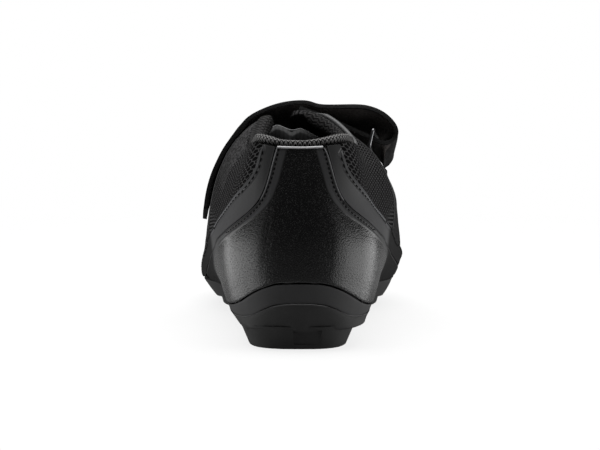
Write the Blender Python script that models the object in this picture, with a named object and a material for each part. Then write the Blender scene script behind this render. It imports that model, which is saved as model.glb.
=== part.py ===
"""A left cycling shoe with one hook-and-loop instep strap.

Tables are in millimetres and the meshes in metres. +Y points to the toe, +X to the medial side, +Z up. The
origin lies on the floor under the middle of the shoe. The upper is a family of ribs: each rib starts on the
feather line, passes the bulge and the flank of the last and ends on the top edge, which is the collar, the
throat or, over the toes, the crest. A sweep angle picks the rib, 0 at the heel seam and pi at the toe tip,
negative on the lateral side. A rise of 0 to 1 runs up the rib.
"""

import math

import bmesh
import bpy
import numpy as np
from mathutils import Matrix

# Driving sizes, in millimetres
MM = 0.001
LENGTH = 282.0
WALL = 2.0
FIT = 0.4
COLUMNS = 48
ROWS = 12
MERGE = 0.000002
SHARP = math.radians(40)
RISE_STEPS = 81

# Rises at which a rib meets feather line, bulge, flank and top edge, and how it leaves the feather line
KNOTS = (0.0, 0.30, 0.62, 1.0)
FLARE_OUT = 2.2
FLARE_UP = 0.9

# Heel and toe ends of each level, measured along the length from the back of the heel
LEVEL_ENDS = {"feather": (4.0, 279.0), "bulge": (0.0, 282.0), "flank": (2.0, 273.0), "top": (6.0, 254.0)}


def table(columns, *rows):
    """A short table as a dictionary of its named columns."""
    return {name: np.array(values, float) for name, values in zip(columns.split(), zip(*rows))}


FEATHER = table(
    "station lateral medial height",
    (0, 0, 0, 12.0), (8, 17, 17, 12.0), (20, 24, 24, 12.0), (40, 27.5, 27.5, 12.2), (70, 29, 28.5, 13.5),
    (100, 31, 29.5, 15.0), (130, 35, 32.5, 15.0), (160, 41, 38.6, 13.5), (185, 44.5, 42.6, 12.3),
    (210, 44, 42.4, 12.0), (235, 39, 37.5, 13.0), (258, 30.5, 28.5, 16.0), (272, 19.5, 18, 18.8),
    (282, 0, 0, 20.5),
)
BULGE = table(
    "station lateral medial lateral_height medial_height",
    (0, 0, 0, 40, 40), (8, 21, 21, 40, 40), (20, 30, 30, 40, 40), (40, 34, 34, 40, 40.5),
    (70, 36.5, 36.5, 39, 41.5), (100, 39.5, 40, 38, 42.5), (130, 42.5, 43.3, 35, 42.5),
    (160, 45.5, 46.3, 28.5, 38), (185, 47.4, 48.7, 22.5, 31), (210, 46.8, 46.5, 21.5, 26.5),
    (235, 42, 40.7, 23, 25.5), (258, 33, 31, 25.5, 26.5), (272, 21.5, 20, 27.5, 28), (282, 0, 0, 29, 29),
)
FLANK = table(
    "station lateral medial lateral_height medial_height",
    (0, 0, 0, 63, 63), (8, 18.5, 18.5, 63, 63), (20, 26, 26, 63, 63), (40, 29.5, 29.5, 63, 63),
    (70, 32.3, 33.4, 65.3, 66.6), (100, 36, 37.6, 67.8, 69.8), (130, 38.3, 39.8, 63.7, 65),
    (160, 38.5, 40.8, 53, 56), (185, 37, 39, 45, 48), (210, 34, 35, 40.5, 42), (235, 29, 28.5, 38, 38.5),
    (258, 21, 20, 36.5, 36.5), (272, 12.5, 12, 35.5, 35.5), (282, 0, 0, 35, 35),
)
# The opening is the clear width between the two top edges, shifted to the lateral side; tilt lowers the
# lateral edge; lean is the slope of the wall at the edge, 0 upright and 90 flat
TOP = table(
    "station opening shift height tilt lean",
    (0, 0, 0, 84, 0, 12), (2, 18, 0, 84.3, 0, 12), (6, 31, 0, 85.5, 0, 13), (14, 40, -0.5, 86, 0, 14),
    (28, 44.5, -1.2, 85, 0, 16), (48, 47, -1.2, 82, 0, 19), (70, 48, -0.8, 80.5, 0, 28),
    (84, 48, 0, 81.5, 0, 40), (101, 42, 1.5, 87.6, -1.6, 52), (110, 29, 4.5, 93.4, -3, 60),
    (116, 18.5, 8, 95.0, -4, 70), (125, 11, 9.5, 93.4, -3, 78), (147, 9, 9.5, 82.2, 0, 86),
    (165, 5.5, 8, 73.5, 0, 88), (185, 0, 6, 64.5, 0, 90), (215, 0, 2, 54, 0, 90), (240, 0, 0, 47.5, 0, 90),
    (262, 0, 0, 43.5, 0, 90), (275, 0, 0, 41, 0, 90), (282, 0, 0, 40, 0, 90),
)
THROAT_FRONT = 185.0

# Outsole: lip is the height of the edge that holds the upper, shoulder and floor are its lower rings
SOLE_ENDS = {"shoulder": (4.5, 277.5), "floor": (9.0, 268.0)}
SOLE_LIP = 1.3
SOLE = table(
    "station lip shoulder_lateral shoulder_medial shoulder_height floor_lateral floor_medial floor_height",
    (0, 20.4, 0, 0, 9.2, 0, 0, 7.0), (1.5, 19.9, 9.5, 9.5, 9.2, 11, 11, 7.0),
    (4, 18.0, 15.5, 16, 9.2, 16.8, 16, 7.0), (8.5, 15.0, 21, 21.6, 9.2, 20.8, 19, 7.0),
    (15, 13.7, 24, 25, 9.2, 22.8, 20.8, 7.0), (30, 13.6, 26.5, 27.6, 9.4, 24.3, 22.3, 7.0),
    (60, 14.4, 27.3, 28, 10.3, 24.5, 22.5, 7.0), (78, 15.2, 28, 28, 11.5, 24, 22.5, 8.6),
    (105, 16.3, 29.5, 28, 12.5, 25.5, 23.5, 10.0), (130, 16.3, 33, 30.5, 12.0, 29, 26.5, 9.2),
    (160, 14.8, 40, 38.8, 10.0, 36.5, 36, 6.4), (185, 13.6, 44.3, 43.4, 8.8, 40.8, 40.4, 5.2),
    (210, 13.3, 44, 43, 8.6, 40, 40, 5.2), (235, 14.3, 38.5, 37.8, 9.8, 34.5, 34, 6.4),
    (258, 17.3, 29.8, 28, 13.0, 25.5, 24, 9.6), (272, 20.1, 18.8, 17.5, 16.0, 15.5, 14.5, 12.2),
    (282, 21.8, 0, 0, 18.0, 0, 0, 14.2),
)

# Rubber pads under the sole: reach along the length, inset from the floor ring, taper to the ground, exponent
# of the rounded ends, and a spring that lifts the front of the pad from a station on
PAD_COLUMNS = 24
HEEL_PAD = {
    "back": 10.5, "front": 62.0, "inset": 0.4, "taper": 2.2, "round": 0.22, "level_to": 50.0, "spring": 0.0,
}
TOE_PAD = {
    "back": 164.0, "front": 262.0, "inset": 0.3, "taper": 1.4, "round": 0.3, "level_to": 232.0, "spring": 4.6,
}
HEEL_NOTCH = {"width": 11.0, "centre": 2.8, "depth": 2.2, "top": 5.6, "bottom": 1.4}

INSOLE_THICK = 3.0
INSOLE_INSET = 3.0
INSOLE_ROUND = 0.3
INSOLE_COLUMNS = 37

# Panels laid on the upper
PANEL_THICK = 0.9
PANEL_LIFT = 0.5
PANEL_SEAM = 0.012
HEEL_TURN = 0.4
ABOVE_RIM = 90.0
PANEL_POINT = 0.008
PANEL_ROWS = {"stripe": 2, "heel_counter": 5, "heel_band": 2}
BAND = table(
    "station height",
    (0, 28.6), (1.3, 28.2), (4.4, 26.0), (10, 22.0), (15, 19.4), (26, 17.6), (45, 16.8), (70, 15.9),
)
# Seam between band and counter, and how far past the band's ends, in sweep, the counter keeps clear of it
BAND_SEAM = 0.8
BAND_PASS = 0.1
STRIPE = table(
    "outer_station outer_height inner_station inner_height",
    (6.3, 85.7, 2.6, 84.6), (7.5, 78, 3.5, 76.2), (11.5, 71.3, 4.6, 68), (20.8, 64.2, 7.2, 61.2),
    (37, 56.2, 12.4, 55.4), (60, 50, 22, 49.4), (90, 44.3, 52, 42), (122, 38, 90, 35.6), (155, 30, 128, 28.8),
    (182, 21, 158, 22), (198, 14.4, 184, 15),
)
# The medial stripe runs a little further forward than the lateral one
STRIPE_REACH = (0.92, 1.08)
COUNTER_FRONT = 168.0

# Padded rim, as a section across the top edge: how far in from the outer face, how far above the edge
COLLAR = table(
    "inward above",
    (3.2, -10), (3.2, 0.4), (0.6, 1.3), (0.0, 2.4), (0.9, 3.9), (3.2, 4.4), (5.8, 3.4), (7.2, 0), (6.4, -6),
)
COLLAR_COLUMNS = 21
EDGE_STEP = 0.04

TONGUE = {"front": 200.0, "back": 110.0, "edge": 0.80, "thick": 3.6}
TONGUE_ACROSS = 6
TONGUE_ALONG = 9
# Shape of its top edge: how far the cloth is cut back, from the middle to the side
TONGUE_TOP = table("across cut", (0, 5.0), (0.12, 3.0), (0.3, 0), (0.45, 0), (0.75, 3.5), (1, 10))
TONGUE_DROP = table("station drop", (110, 7.0), (125, 5.0), (145, 1.5), (165, 0.8), (200, 0.8))

STRAP_REAR, STRAP_FRONT = 121.0, 150.0
STRAP_THICK = 1.9
STRAP_WIDTH = 28.0
STRAP_REAR_Y = -29.0
STRAP_ACROSS = 4
# Slack loop beyond the ring: the middle line of the strap's rear edge seen from behind, and the fall and the
# outward turn of the strap from its rear to its front edge, in degrees
STRAP_LOOP = table(
    "out up fall turn",
    (33.0, 83.6, 16, 9), (38.0, 82.0, 20, 6), (42.2, 83.0, 25, 2), (43.8, 86.7, 27, 2),
    (41.9, 91.1, 28, 3), (37.3, 95.2, 27, 3), (31.2, 97.6, 28, 2), (24.0, 98.4, 30, 0),
)
# Stretches that lie on the upper: the sewn end under the strap, the strap over it and the free end
STRAP_UNDER = table("side rise lift", (1, 0.985, 0.6), (1, 0.95, 0.6), (1, 0.89, 1.6))
STRAP_OVER = table("side rise lift", (1, 0.93, 2.4), (1, 0.98, 1.6), (-1, 0.97, 2.2), (-1, 0.91, 0.5))
STRAP_END = table(
    "rise lift",
    (0.84, 0.9), (0.76, 1.0), (0.69, 1.0), (0.62, 1.0), (0.55, 0.8), (0.50, 0.6), (0.46, 0.5),
)

# Wire ring seen from behind: its middle, its lean, its clear length along the strap and its height
RING = {"out": 32.6, "up": 83.4, "lean": 13.0, "long": 32.0, "high": 8.4, "corner": 2.4, "wire": 0.8}
RING_SIDES = 6
RING_CORNER = 3
# Webbing that holds the ring: its reach along the upper and along the ring's bar, and its rises on the upper
TAB = {"rear": 122.0, "front": 137.0, "bar_rear": 0.12, "bar_front": 0.58, "thick": 1.2}
TAB_RISES = (0.63, 0.66, 0.69)
TAB_ACROSS = 3

# Finishes: colour, roughness, metallic
FINISH = {
    "upper": ((0.012, 0.012, 0.013), 0.85, 0.0),
    "heel_counter": ((0.006, 0.006, 0.006), 0.35, 0.0),
    "stripe": ((0.025, 0.025, 0.027), 0.55, 0.0),
    "heel_band": ((0.020, 0.020, 0.021), 0.60, 0.0),
    "collar": ((0.014, 0.014, 0.015), 0.90, 0.0),
    "tongue": ((0.010, 0.010, 0.011), 0.85, 0.0),
    "insole": ((0.012, 0.012, 0.013), 0.90, 0.0),
    "outsole": ((0.014, 0.014, 0.015), 0.50, 0.0),
    "pad": ((0.010, 0.010, 0.010), 0.75, 0.0),
    "strap": ((0.010, 0.010, 0.011), 0.80, 0.0),
    "ring": ((0.55, 0.56, 0.58), 0.25, 1.0),
}


def sweep(station):
    """Sweep angle of a station along the length."""
    return np.arccos(np.clip(1 - 2 * np.asarray(station, float) / LENGTH, -1, 1))


def smooth(xs, ys, at, level_ends=False):
    """Monotone cubic through the points (xs, ys), read at the values in at."""
    step = np.diff(xs)
    slope = np.diff(ys) / step
    before, after = slope[:-1], slope[1:]
    same = before * after > 0
    total = np.where(same, before + after, 1.0)
    tangent = np.concatenate([[slope[0]], np.where(same, 2 * before * after / total, 0.0), [slope[-1]]])
    if level_ends:
        tangent[[0, -1]] = 0.0
    at = np.clip(at, xs[0], xs[-1])
    i = np.clip(np.searchsorted(xs, at, side="right") - 1, 0, len(step) - 1)
    h = (at - xs[i]) / step[i]
    return hermite(ys[i], ys[i + 1], tangent[i] * step[i], tangent[i + 1] * step[i], h)


def hermite(start, end, start_slope, end_slope, h):
    """Cubic from start to end with the given slopes, at h from 0 to 1."""
    square, cube = h * h, h * h * h
    rest = (cube - 2 * square + h) * start_slope + (cube - square) * end_slope
    return (2 * cube - 3 * square + 1) * start + (3 * square - 2 * cube) * end + rest


def read(tab, column, turn, level_ends=True):
    """A table's column at sweep angles; widths start round the heel, heights run level through it."""
    return smooth(sweep(tab["station"]), tab[column], turn, level_ends)


def along(ends, turn):
    """Place along the shoe's own Y axis of a level that runs between two ends."""
    back, front = ends
    return back + (front - back) * (1 - np.cos(turn)) / 2 - LENGTH / 2


def level(name, tab, angle):
    """Points of a level of the last at sweep angles."""
    turn = np.minimum(np.abs(angle), math.pi)
    lateral = angle < 0
    wide = np.where(lateral, -read(tab, "lateral", turn, False), read(tab, "medial", turn, False))
    sides = ("height", "height") if "height" in tab else ("lateral_height", "medial_height")
    high = np.where(lateral, read(tab, sides[0], turn), read(tab, sides[1], turn))
    return np.stack([wide, along(LEVEL_ENDS[name], turn), high], axis=-1)


def top_edge(angle):
    """Points of the collar, throat and crest, and the lean of the wall there."""
    turn = np.minimum(np.abs(angle), math.pi)
    half = read(TOP, "opening", turn, False) / 2
    shift, tilt = read(TOP, "shift", turn), read(TOP, "tilt", turn)
    lateral = angle < 0
    wide = np.where(lateral, -half - shift, half - shift)
    high = read(TOP, "height", turn) + np.where(lateral, tilt, -tilt) / 2
    points = np.stack([wide, along(LEVEL_ENDS["top"], turn), high], axis=-1)
    return points, np.radians(read(TOP, "lean", turn))


def rib(angle, rise):
    """Points of the last's surface at sweep angles and rises."""
    top, lean = top_edge(angle)
    levels = zip(("feather", "bulge", "flank"), (FEATHER, BULGE, FLANK))
    stops = [*[level(name, tab, angle) for name, tab in levels], top]
    span = np.diff(KNOTS)
    chord = [(b - a) / w for a, b, w in zip(stops, stops[1:], span)]
    inner = [(chord[k] * span[k + 1] + chord[k + 1] * span[k]) / (span[k] + span[k + 1]) for k in range(2)]
    flat = (top - stops[2]) * (1, 1, 0)
    flat = flat / np.linalg.norm(flat, axis=-1, keepdims=True)
    reach = np.linalg.norm(chord[2], axis=-1, keepdims=True)
    last = reach * (flat * np.sin(lean)[..., None] + np.array((0, 0, 1.0)) * np.cos(lean)[..., None])
    slopes = [chord[0] * (FLARE_OUT, FLARE_OUT, FLARE_UP), *inner, last]
    points = np.zeros(np.shape(angle) + (3,))
    for k, wide in enumerate(span):
        h = ((rise - KNOTS[k]) / wide)[..., None]
        piece = hermite(stops[k], stops[k + 1], slopes[k] * wide, slopes[k + 1] * wide, h)
        inside = (rise >= KNOTS[k]) & (rise <= KNOTS[k + 1])
        points = np.where(inside[..., None], piece, points)
    return points


def normal(angle, rise):
    """Outward unit normals of the last's surface."""
    nudge = 0.002
    ahead, behind = np.minimum(angle + nudge, math.pi), np.maximum(angle - nudge, -math.pi)
    above, below = np.minimum(rise + nudge, 1.0), np.maximum(rise - nudge, 0.0)
    cross = np.cross(rib(ahead, rise) - rib(behind, rise), rib(angle, above) - rib(angle, below))
    return cross / np.linalg.norm(cross, axis=-1, keepdims=True)


def surface(angle, rise, lift=0.0):
    """Points at a height above the last's surface, below it where lift is negative."""
    angle, rise, lift = np.broadcast_arrays(np.asarray(angle, float), np.asarray(rise, float), lift)
    return rib(angle, rise) + normal(angle, rise) * lift[..., None]


def rise_at(angle, height):
    """Rise at which each rib reaches a height."""
    steps = np.linspace(0, 1, RISE_STEPS)
    found = []
    for one, high in zip(np.ravel(angle), np.ravel(height)):
        heights = rib(np.full_like(steps, one), steps)[:, 2]
        found.append(np.interp(high, np.maximum.accumulate(heights), steps))
    return np.reshape(found, np.shape(angle))


def material(name):
    """A Principled material with the finish of the given name."""
    if name in bpy.data.materials:
        return bpy.data.materials[name]
    colour, rough, metal = FINISH[name]
    made = bpy.data.materials.new(name)
    made.use_nodes = True
    shader = made.node_tree.nodes["Principled BSDF"]
    shader.inputs["Base Color"].default_value = (*colour, 1.0)
    shader.inputs["Roughness"].default_value = rough
    shader.inputs["Metallic"].default_value = metal
    return made


def solid(name, finish, grids, caps=()):
    """One closed body from grids of points whose borders meet, and polygons that close its ends."""
    body = bmesh.new()
    for grid in grids:
        rows = [[body.verts.new(np.asarray(p) * MM) for p in row] for row in grid]
        for low, high in zip(rows, rows[1:]):
            for i in range(len(low) - 1):
                body.faces.new((low[i], low[i + 1], high[i + 1], high[i]))
    for cap in caps:
        body.faces.new([body.verts.new(np.asarray(p) * MM) for p in cap])
    bmesh.ops.remove_doubles(body, verts=body.verts, dist=MERGE)
    bmesh.ops.recalc_face_normals(body, faces=body.faces)
    mesh = bpy.data.meshes.new(name)
    body.to_mesh(mesh)
    body.free()
    mesh.shade_smooth()
    mesh.set_sharp_from_angle(angle=SHARP)
    mesh.materials.append(material(finish))
    made = bpy.data.objects.new(name, mesh)
    bpy.context.scene.collection.objects.link(made)
    return made


def slab(outer, inner):
    """Grids of a closed sheet between two grids of the same size."""
    sides = [[outer[0], inner[0]], [outer[-1], inner[-1]]]
    ends = [np.stack([outer[:, 0], inner[:, 0]]), np.stack([outer[:, -1], inner[:, -1]])]
    return [outer, inner, *sides, *ends]


def sides_of(turn):
    """Lateral and medial sweep angles of the same ribs."""
    return -turn, turn


def make_upper():
    """Hollow wall, open at the collar, the throat and underneath."""
    turn = np.linspace(0, math.pi, COLUMNS + 1)
    rise = np.linspace(0, 1, ROWS + 1)
    skins = {}
    for skin, lift in (("outer", 0.0), ("inner", -WALL)):
        lateral, medial = [surface(side[:, None], rise[None, :], lift) for side in sides_of(turn)]
        middle = (lateral + medial) / 2
        closed = turn >= sweep(THROAT_FRONT)
        for side in (lateral, medial):
            side[[0, -1]] = middle[[0, -1]]
            side[closed, -1] = middle[closed, -1]
        skins[skin] = lateral, medial
    throat = int(np.argmax(closed)) + 1
    grids = []
    for outer, inner in zip(skins["outer"], skins["inner"]):
        grids += [outer, inner]
        grids.append(np.stack([outer[:, 0], inner[:, 0]]))
        grids.append(np.stack([outer[:throat, -1], inner[:throat, -1]]))
    solid("upper", "upper", grids)


def ring(turn, lateral, medial, ends, height):
    """Lateral and medial side of a closed ring round the sole, each from heel to toe."""
    y = along(ends, turn)
    return [np.stack([wide, y, height], axis=-1) for wide in (-lateral, medial)]


def stack(name, finish, rings):
    """Solid from rings one above the other, closed across the first and the last."""
    grids = []
    for side in (0, 1):
        grids.append(np.stack([one[side] for one in rings]))
    for one in (rings[0], rings[-1]):
        grids.append(np.stack([one[0], one[1]]))
    return solid(name, finish, grids)


def sole_ring(name, turn):
    """One of the two rings of the outsole that its table gives."""
    wide = [read(SOLE, name + side, turn, False) for side in ("_lateral", "_medial")]
    return ring(turn, *wide, SOLE_ENDS[name], read(SOLE, name + "_height", turn))


def make_outsole():
    """Plate with a lip that holds the upper, a shoulder along the side and the bottom ring."""
    turn = np.linspace(0, math.pi, COLUMNS + 1)
    floor, shoulder = [sole_ring(name, turn) for name in ("floor", "shoulder")]
    lip_outer, lip_inner, seat = [], [], []
    for side in sides_of(turn):
        rise = rise_at(side, read(SOLE, "lip", turn))
        lip_outer.append(surface(side, rise, FIT + SOLE_LIP))
        lip_inner.append(surface(side, rise, FIT))
        seat.append(surface(side, np.zeros_like(side), FIT) * (1, 1, 0) + outsole_seat(turn))
    for one in (lip_outer, lip_inner, seat):
        for end in (0, -1):
            one[0][end] = one[1][end] = (one[0][end] + one[1][end]) / 2
    return stack("outsole", "outsole", [floor, shoulder, lip_outer, lip_inner, seat])


def outsole_seat(turn):
    """Height of the plate's top, just under the feather line, as vectors."""
    height = read(FEATHER, "height", turn) - FIT
    return height[:, None] * np.array((0, 0, 1.0))


def make_insole():
    """Foot bed inside the wall, on the plate."""
    back, front = LEVEL_ENDS["feather"]
    turn = np.linspace(0, math.pi, INSOLE_COLUMNS + 1)
    ends = (back + INSOLE_INSET, front - INSOLE_INSET)
    station = (along(ends, turn) + LENGTH / 2 - back) * LENGTH / (front - back)
    plate = read(FEATHER, "height", sweep(station))
    inset = INSOLE_INSET * np.maximum(np.sin(turn), 0) ** INSOLE_ROUND
    wide = [np.maximum(read(FEATHER, side, turn, False) - inset, 0.0) for side in ("lateral", "medial")]
    low = ring(turn, *wide, ends, plate)
    high = ring(turn, *wide, ends, plate + INSOLE_THICK)
    return stack("insole", "insole", [low, high])


def make_pad(name, pad):
    """Rubber block from its ground ring to its top ring under the plate."""
    turn = np.linspace(0, math.pi, PAD_COLUMNS + 1)
    ends = (pad["back"], pad["front"])
    place = along(ends, turn) + LENGTH / 2
    back, front = SOLE_ENDS["floor"]
    at = sweep((place - back) * LENGTH / (front - back))
    full = [read(SOLE, side, at, False) - pad["inset"] for side in ("floor_lateral", "floor_medial")]
    ease = np.maximum(np.sin(turn), 0) ** pad["round"]
    ease[[0, -1]] = 0.0
    top = ring(turn, full[0] * ease, full[1] * ease, ends, read(SOLE, "floor_height", at) - FIT)
    slim = [np.maximum(side - pad["taper"], 0.0) * ease for side in full]
    drawn = (pad["back"] + pad["taper"], pad["front"] - pad["taper"])
    past = np.maximum(along(drawn, turn) + LENGTH / 2 - pad["level_to"], 0) / (pad["front"] - pad["level_to"])
    low = ring(turn, *slim, drawn, pad["spring"] * past**2)
    return stack(name, "pad", [low, top])


def make_pads():
    """Rubber blocks under heel and forefoot; both stand flat on the floor."""
    make_pad("toe_pad", TOE_PAD)
    heel = make_pad("heel_pad", HEEL_PAD)
    notch = bpy.data.objects.new("heel_notch", box_mesh("heel_notch"))
    bpy.context.scene.collection.objects.link(notch)
    notch.hide_render = True
    notch.display_type = "WIRE"
    cut = heel.modifiers.new("notch", "BOOLEAN")
    cut.object = notch
    cut.solver = "EXACT"


def box_mesh(name):
    """Cutter for the shallow notch in the back of the heel pad."""
    body = bmesh.new()
    bmesh.ops.create_cube(body, size=MM)
    high = HEEL_NOTCH["top"] - HEEL_NOTCH["bottom"]
    back = HEEL_PAD["back"] - LENGTH / 2
    size = (HEEL_NOTCH["width"], 2 * (HEEL_NOTCH["depth"] + HEEL_PAD["taper"]), high)
    middle = (HEEL_NOTCH["centre"], back - HEEL_NOTCH["depth"], HEEL_NOTCH["bottom"] + high / 2)
    bmesh.ops.scale(body, vec=size, verts=body.verts)
    bmesh.ops.translate(body, vec=np.array(middle) * MM, verts=body.verts)
    mesh = bpy.data.meshes.new(name)
    body.to_mesh(mesh)
    body.free()
    return mesh


def rib_columns(start, end):
    """Sweep angles of the upper's own ribs between two angles, twice as many near the heel seam."""
    step = math.pi / COLUMNS / 2
    place = np.arange(-2 * COLUMNS, 2 * COLUMNS + 1)
    angle = place * step
    kept = (place % 2 == 0) | (np.abs(angle) < HEEL_TURN)
    inside = (angle > start + step / 2) & (angle < end - step / 2)
    return np.array([start, *angle[kept & inside], end])


def panel(name, finish, angle, low, high):
    """Sheet laid on the upper between two heights along its ribs."""
    low = np.minimum(rise_at(angle, low), 1 - PANEL_POINT)
    high = np.maximum(rise_at(angle, high), low + PANEL_POINT)
    rise = low + (high - low) * np.linspace(0, 1, PANEL_ROWS[finish] + 1)[:, None]
    outer, inner = [surface(angle, rise, lift) for lift in (PANEL_LIFT + PANEL_THICK, PANEL_LIFT)]
    return solid(name, finish, slab(outer, inner))


def stripe_edge(which, angle):
    """Height of the stripe's inner or outer edge at sweep angles."""
    reach = np.where(angle < 0, *STRIPE_REACH)
    station = LENGTH * (1 - np.cos(angle)) / 2 / reach
    high = smooth(sweep(STRIPE[which + "_station"]), STRIPE[which + "_height"], sweep(station))
    return np.where(station < STRIPE[which + "_station"][0], ABOVE_RIM, high)


def over_sole(angle):
    """Height just above the outsole's lip."""
    return read(SOLE, "lip", np.abs(angle)) + FIT


def make_panels():
    """Heel counter, the two stripes beside it and the band over the sole."""
    for side, reach, name in zip((-1, 1), STRIPE_REACH, ("stripe_lateral", "stripe_medial")):
        ends = sweep(np.array((STRIPE["inner_station"][0], STRIPE["outer_station"][-1])) * reach)
        angle = rib_columns(*sorted(side * ends))
        low = np.maximum(stripe_edge("inner", angle), over_sole(angle))
        panel(name, "stripe", angle, low, stripe_edge("outer", angle))
    ends = sweep(COUNTER_FRONT * np.array(STRIPE_REACH)) * (-1, 1)
    angle = rib_columns(*ends)
    band_end = sweep(BAND["station"][-1])
    over_band = read(BAND, "height", np.minimum(np.abs(angle), band_end)) + BAND_SEAM
    past_band = np.abs(angle) > band_end + BAND_PASS
    low = np.where(past_band, over_sole(angle), np.maximum(over_band, over_sole(angle)))
    high = stripe_edge("inner", angle + np.sign(angle) * PANEL_SEAM) - FIT
    panel("heel_counter", "heel_counter", angle, low, high)
    angle = rib_columns(-band_end, band_end)
    panel("heel_band", "heel_band", angle, over_sole(angle), read(BAND, "height", np.abs(angle)))


def make_collar():
    """Padded rim from the lateral to the medial corner of the throat."""
    angle = np.arange(-COLLAR_COLUMNS, COLLAR_COLUMNS + 1) * math.pi / COLUMNS
    edge_points, _ = top_edge(angle)
    out = normal(angle, np.ones_like(angle))
    below = edge_points - rib(angle, np.full_like(angle, 1 - EDGE_STEP))
    reach = np.linalg.norm(below, axis=-1) / EDGE_STEP
    up = below / np.linalg.norm(below, axis=-1, keepdims=True)
    rows = []
    for inward, above in zip(COLLAR["inward"], COLLAR["above"]):
        inside = surface(angle, 1 + min(above, 0) / reach, -inward)
        rows.append(inside if above <= 0 else edge_points - out * inward + up * above)
    solid("collar", "collar", [np.stack([*rows, rows[0]])], [[r[0] for r in rows], [r[-1] for r in rows]])


def make_tongue():
    """Padded strip under the throat, notched at its top edge."""
    across = np.linspace(0, 1, TONGUE_ACROSS + 1)
    rise = TONGUE["edge"] + (1 - TONGUE["edge"]) * (1 - across)
    back = sweep(TONGUE["back"] + smooth(TONGUE_TOP["across"], TONGUE_TOP["cut"], across))
    turn = back + (sweep(TONGUE["front"]) - back) * np.linspace(0, 1, TONGUE_ALONG + 1)[:, None]
    drop = WALL + smooth(sweep(TONGUE_DROP["station"]), TONGUE_DROP["drop"], turn)
    skins = []
    for deep in (drop, drop + TONGUE["thick"]):
        lateral, medial = [surface(side, rise[None, :], -deep) for side in sides_of(turn)]
        skins.append(np.concatenate([lateral[:, ::-1], medial], axis=1))
    solid("tongue", "tongue", slab(*skins))


def strap_way(fall, turn):
    """Unit way from the strap's rear edge to its front edge where it hangs free."""
    fall, turn = math.radians(fall), math.radians(turn)
    return np.array((math.sin(turn) * math.cos(fall), math.cos(turn) * math.cos(fall), -math.sin(fall)))


def strap_rows():
    """Middle surface of the strap from its sewn end, through the ring and back to its free end."""
    turn = np.linspace(sweep(STRAP_REAR), sweep(STRAP_FRONT), STRAP_ACROSS + 1)
    half = STRAP_THICK / 2
    low, high = FIT + half, FIT * 2 + STRAP_THICK + half
    laid = [(side, rise, low + lift) for side, rise, lift in zip(*STRAP_UNDER.values())]
    back = [(side, rise, high + lift) for side, rise, lift in zip(*STRAP_OVER.values())]
    down = [(-1, rise, low + lift) for rise, lift in zip(*STRAP_END.values())]
    reach = np.linspace(0, STRAP_WIDTH, STRAP_ACROSS + 1)[:, None]
    loop = [np.array((out, STRAP_REAR_Y, up)) + strap_way(fall, swing) * reach
            for out, up, fall, swing in zip(*STRAP_LOOP.values())]

    def on_upper(rows):
        return [surface(side * turn, np.full_like(turn, rise), lift) for side, rise, lift in rows]

    return np.array(on_upper(laid) + loop + on_upper(back + down))


def spline(rows, between):
    """Catmull-Rom curve through rows of points, with extra rows between them."""
    ends = [2 * rows[0] - rows[1], *rows, 2 * rows[-1] - rows[-2]]
    made = []
    for before, a, b, after in zip(ends, ends[1:], ends[2:], ends[3:]):
        for h in np.arange(between) / between:
            made.append(hermite(a, b, (b - before) / 2, (after - a) / 2, h))
    return np.array([*made, rows[-1]])


def make_strap():
    """Strap of even thickness along its rows."""
    rows = spline(strap_rows(), 2)
    face = np.cross(np.gradient(rows, axis=0), np.gradient(rows, axis=1))
    face = face / np.linalg.norm(face, axis=-1, keepdims=True) * STRAP_THICK / 2
    solid("instep_strap", "strap", slab(rows + face, rows - face))


def ring_way():
    """Way along the ring's bars, which is that of the strap inside it."""
    return strap_way(STRAP_LOOP["fall"][0], STRAP_LOOP["turn"][0])


def make_ring():
    """Rounded wire rectangle that the strap turns through."""
    lean = math.radians(RING["lean"])
    long_way, high_way = ring_way(), np.array((math.sin(lean), 0, math.cos(lean)))
    middle = np.array((RING["out"], STRAP_REAR_Y, RING["up"])) + long_way * STRAP_WIDTH / 2
    half = np.array((RING["long"], RING["high"])) / 2 - RING["corner"]
    path = []
    for quarter, corner in enumerate(((1, 1), (-1, 1), (-1, -1), (1, -1))):
        for turn in (np.linspace(0, 1, RING_CORNER + 1) + quarter) * math.pi / 2:
            path.append(half * corner + np.array((math.cos(turn), math.sin(turn))) * RING["corner"])
    path = np.array(path)
    points = middle + path[:, :1] * long_way + path[:, 1:] * high_way
    face = np.cross(long_way, high_way)
    out = np.cross(np.roll(points, -1, axis=0) - np.roll(points, 1, axis=0), face)
    out = out / np.linalg.norm(out, axis=-1, keepdims=True)
    around = np.linspace(0, 2 * math.pi, RING_SIDES + 1)
    tube = np.stack([points + RING["wire"] * (out * math.cos(a) + face * math.sin(a)) for a in around])
    solid("strap_ring", "ring", [np.concatenate([tube, tube[:, :1]], axis=1)])


def make_tab():
    """Webbing from the medial side of the upper to the lower bar of the ring."""
    turn = np.linspace(sweep(TAB["rear"]), sweep(TAB["front"]), TAB_ACROSS + 1)
    half = TAB["thick"] / 2
    laid = [surface(turn, np.full_like(turn, rise), FIT + half) for rise in TAB_RISES]
    lean = math.radians(RING["lean"])
    drop = RING["high"] / 2 + RING["wire"] + FIT
    bar = np.array((RING["out"] - drop * math.sin(lean), STRAP_REAR_Y, RING["up"] - drop * math.cos(lean)))
    reach = np.linspace(TAB["bar_rear"], TAB["bar_front"], TAB_ACROSS + 1)[:, None] * STRAP_WIDTH
    rows = np.array([*laid, bar + reach * ring_way()])
    face = np.cross(np.gradient(rows, axis=0), np.gradient(rows, axis=1))
    face = face / np.linalg.norm(face, axis=-1, keepdims=True) * half
    solid("ring_tab", "strap", slab(rows + face, rows - face))


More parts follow.
